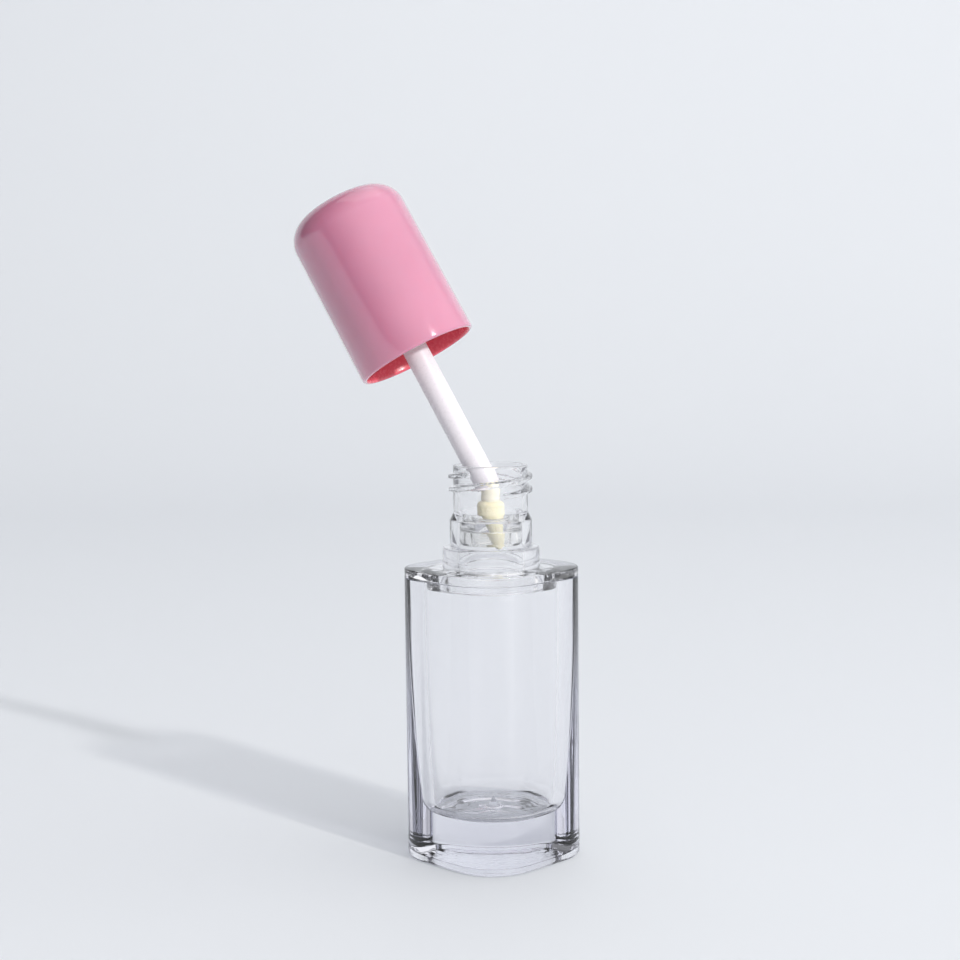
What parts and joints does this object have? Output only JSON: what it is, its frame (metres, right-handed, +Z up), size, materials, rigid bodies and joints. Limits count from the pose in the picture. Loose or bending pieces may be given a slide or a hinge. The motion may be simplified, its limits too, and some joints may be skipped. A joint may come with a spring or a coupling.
{
  "type": "lip gloss tube",
  "caption": "Thick clear lip gloss bottle, square with round corners, and a wand with a flocked tip and a domed pink cap standing in its threaded neck at a lean.",
  "frame": {"origin": "centre of the bottle's base, on the surface it stands on", "axes": "+Z up along the bottle's axis, -Y towards the viewer, where one corner of the square points, -X the side that the cap leans to"},
  "size_m": [0.0438, 0.0296, 0.1046],
  "materials": {
    "bottle_body": "thick clear PETG, polished",
    "neck_insert": "clear moulded plastic, polished",
    "wiper": "natural translucent polyethylene",
    "flocked_tip": "short cream nylon flock",
    "tip_core": "soft flexible elastomer",
    "wand_stem": "white polypropylene, satin",
    "outer_cap": "pink moulded plastic, glossy",
    "inner_cap": "white polypropylene",
    "cap_gasket": "expanded polyethylene foam disc"
  },
  "bodies": {
    "bottle": {"bottle_body": "bottle_body", "neck_insert": "neck_insert", "wiper": "wiper"},
    "tip": {"flocked_tip": "flocked_tip"},
    "core": {"tip_core": "tip_core"},
    "wand": {"wand_stem": "wand_stem", "outer_cap": "outer_cap", "inner_cap": "inner_cap", "cap_gasket": "cap_gasket"}
  },
  "joints": [
    {"name": "wand_lift", "type": "slide", "parent": "bottle", "child": "tip", "axis": [0, 0, 1], "range_m": [0, 0.03]},
    {"name": "wand_lean", "type": "hinge", "parent": "tip", "child": "core", "pos_m": [0, 0, 0.057], "axis": [0.299, 0.9542, 0], "range_deg": [0, 57.6]},
    {"name": "cap_turn", "type": "hinge", "parent": "core", "child": "wand", "pos_m": [0, 0, 0.057], "axis": [-0.4597, 0.1441, 0.8763], "continuous": true}
  ]
}
